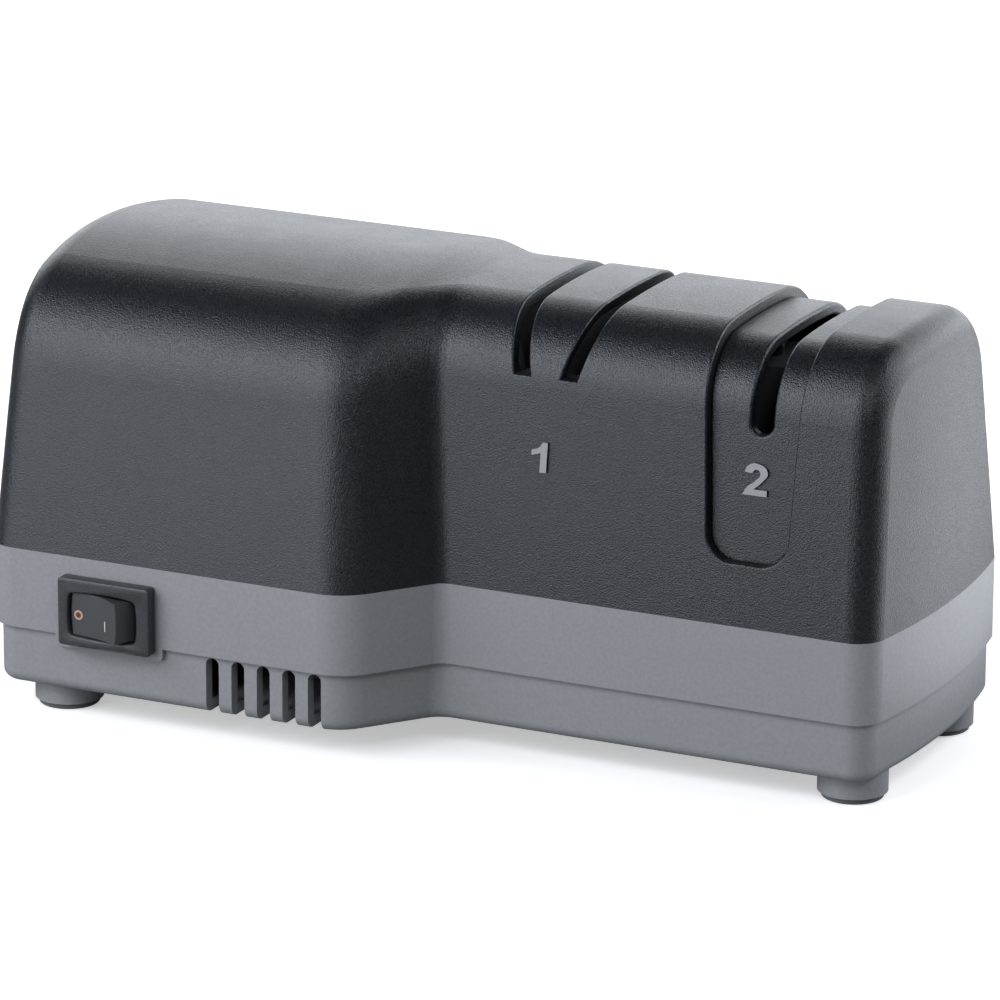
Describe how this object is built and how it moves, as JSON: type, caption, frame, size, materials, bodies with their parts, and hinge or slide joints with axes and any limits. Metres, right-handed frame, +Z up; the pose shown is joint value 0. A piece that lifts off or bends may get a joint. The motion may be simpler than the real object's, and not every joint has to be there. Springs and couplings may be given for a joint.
{
  "type": "electric knife sharpener",
  "caption": "Electric knife sharpener with an arched black housing on a grey base, powered disk stage, ceramic wheel stage and rocker switch.",
  "frame": {"origin": "bottom centre of the bounding box, on the surface that the rubber feet stand on", "axes": "+X along the length towards the sharpening stages, -Y to the user and the switch, +Z up"},
  "size_m": [0.2088, 0.1216, 0.0985],
  "materials": {
    "housing_black": "fine grained moulded plastic, black",
    "base_grey": "satin moulded plastic, mid grey",
    "insert_black": "smooth satin plastic, black",
    "foot_rubber": "matt rubber, dark grey",
    "screw_steel": "zinc-plated steel",
    "switch_black": "satin plastic, black",
    "rocker_black": "glossy plastic, black",
    "terminal_brass": "bright brass",
    "gland_rubber": "matt rubber, black",
    "clamp_plastic": "matt plastic, black",
    "lamination_steel": "stacked sheet steel, dull",
    "copper": "bare copper",
    "winding_copper": "enamelled copper wire, wound",
    "bobbin_plastic": "natural nylon",
    "cast_aluminium": "die-cast, satin",
    "bronze": "sintered bronze, oiled",
    "shaft_steel": "ground steel",
    "rotor_steel": "laminated steel with cast end rings",
    "fan_plastic": "glass-filled plastic, black",
    "abrasive_steel": "steel with fine diamond grit",
    "spring_steel": "spring wire",
    "inner_plastic": "matt plastic, black",
    "magnet_nickel": "nickel-plated",
    "ceramic": "fine white ceramic"
  },
  "bodies": {
    "housing": {"upper_housing": "housing_black", "base_housing": "base_grey", "stage_2_insert": "insert_black", "rubber_feet": "foot_rubber", "housing_screws": "screw_steel", "switch_body": "switch_black", "switch_terminals": "terminal_brass", "cord_gland": "gland_rubber", "cord_clamp": "clamp_plastic", "clamp_screws": "screw_steel", "stator_core": "lamination_steel", "shading_rings": "copper", "coil_bobbin": "bobbin_plastic", "field_winding": "winding_copper", "bearing_bridge_left": "cast_aluminium", "bearing_bridge_right": "cast_aluminium", "bearing_left": "bronze", "bearing_right": "bronze", "motor_bolts": "screw_steel", "motor_nuts": "screw_steel", "motor_grommets": "foot_rubber", "motor_mount_screws": "screw_steel", "dust_bulkhead": "inner_plastic", "blade_guide": "inner_plastic", "guide_screws": "screw_steel", "filings_magnets": "magnet_nickel", "wheel_carrier": "inner_plastic", "carrier_screws": "screw_steel", "wheel_axles": "shaft_steel", "wheel_spacers": "bobbin_plastic"},
    "rocker": {"switch_rocker": "rocker_black"},
    "turning_shaft": {"motor_shaft": "shaft_steel", "rotor_core": "rotor_steel", "cooling_fan": "fan_plastic", "drive_pins": "shaft_steel", "disk_spring": "spring_steel"},
    "left_disk": {"disk_left": "abrasive_steel"},
    "right_disk": {"disk_right": "abrasive_steel"},
    "left_wheel": {"wheel_left": "ceramic"},
    "right_wheel": {"wheel_right": "ceramic"},
    "cover": {"clean_out_cover": "base_grey"}
  },
  "joints": [
    {"name": "rocker_rock", "type": "hinge", "parent": "housing", "child": "rocker", "pos_m": [-0.0673, -0.0534, 0.0255], "axis": [0, 0, 1], "range_deg": [0, 30]},
    {"name": "shaft_spin", "type": "hinge", "parent": "housing", "child": "turning_shaft", "pos_m": [-0.062, 0, 0.0625], "axis": [1, 0, 0], "continuous": true},
    {"name": "left_disk_slide", "type": "slide", "parent": "turning_shaft", "child": "left_disk", "axis": [1, 0, 0], "range_m": [0, 0.0012], "stiffness_N_per_m": 1500, "springref_m": -0.001, "deforming": ["disk_spring"]},
    {"name": "right_disk_slide", "type": "slide", "parent": "turning_shaft", "child": "right_disk", "axis": [-1, 0, 0], "range_m": [0, 0.0012], "stiffness_N_per_m": 1500, "springref_m": -0.001, "deforming": ["disk_spring"]},
    {"name": "left_wheel_spin", "type": "hinge", "parent": "housing", "child": "left_wheel", "pos_m": [0.0651, -0.0025, 0.068], "axis": [0, 1, 0], "continuous": true},
    {"name": "right_wheel_spin", "type": "hinge", "parent": "housing", "child": "right_wheel", "pos_m": [0.0801, 0.0025, 0.068], "axis": [0, 1, 0], "continuous": true},
    {"name": "cover_slide", "type": "slide", "parent": "housing", "child": "cover", "axis": [1, 0, 0], "range_m": [0, 0.028]}
  ]
}
